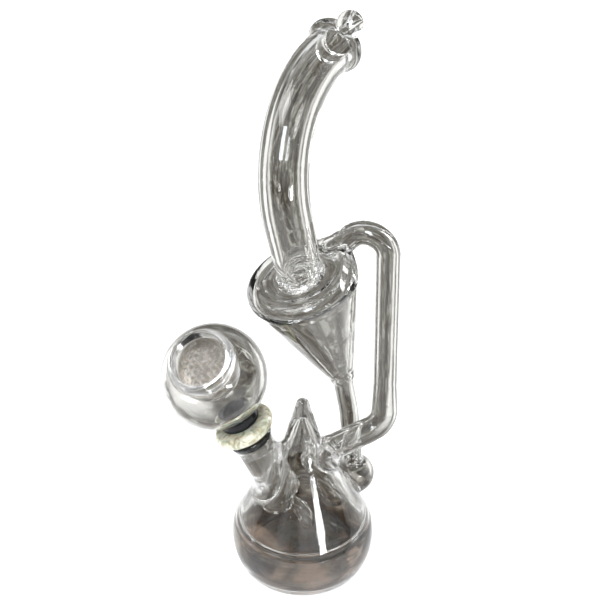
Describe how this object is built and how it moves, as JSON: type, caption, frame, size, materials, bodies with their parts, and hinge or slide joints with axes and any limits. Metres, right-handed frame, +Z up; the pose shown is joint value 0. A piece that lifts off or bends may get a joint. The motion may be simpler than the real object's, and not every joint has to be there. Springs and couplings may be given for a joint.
{
  "type": "glass recycler water pipe",
  "caption": "Clear glass recycler water pipe: conical base, funnel upper chamber, bent neck, looping feed and drain tubes, and a lift-out ball-shaped bowl in a ground joint.",
  "frame": {"origin": "centre of the foot, on the surface it stands on", "axes": "+Z up; +X towards the upright feed tube; the bowl's joint leans towards -X; the neck turns away towards +Y"},
  "size_m": [0.1085, 0.0957, 0.262],
  "materials": {
    "clear_glass": "polished clear borosilicate, faint warm grey",
    "black_glass": "polished opaque black glass",
    "ivory_glass": "cloudy ivory glass, fire-polished"
  },
  "bodies": {
    "rig": {"base_dish": "clear_glass", "base_cone": "clear_glass", "joint_socket": "clear_glass", "downstem_can": "clear_glass", "diffuser_arm": "clear_glass", "diffuser_tip": "clear_glass", "pickup_can": "clear_glass", "feed_arm": "clear_glass", "feed_low_elbow": "clear_glass", "feed_riser": "clear_glass", "feed_high_elbow": "clear_glass", "feed_top_arm": "clear_glass", "chamber_cone": "clear_glass", "chamber_lid": "clear_glass", "splash_tube": "clear_glass", "drain_upper": "clear_glass", "drain_bend": "clear_glass", "drain_lower": "clear_glass", "drain_bulb": "clear_glass", "neck_lower": "clear_glass", "neck_bend": "clear_glass", "mouth_lip": "clear_glass", "lip_bead": "clear_glass"},
    "seal": {"seal_ring": "black_glass"},
    "bowl": {"slide_joint": "clear_glass", "hand_ring": "ivory_glass", "bowl_collar": "black_glass", "bowl_globe": "clear_glass", "bowl_cup": "clear_glass", "bowl_screen": "clear_glass"}
  },
  "joints": [
    {"name": "bowl_lift", "type": "slide", "parent": "rig", "child": "seal", "axis": [-0.4163, 0, 0.9092], "range_m": [0, 0.036]},
    {"name": "bowl_twist", "type": "hinge", "parent": "seal", "child": "bowl", "pos_m": [-0.0132, 0, 0.0503], "axis": [-0.4163, 0, 0.9092], "continuous": true}
  ]
}
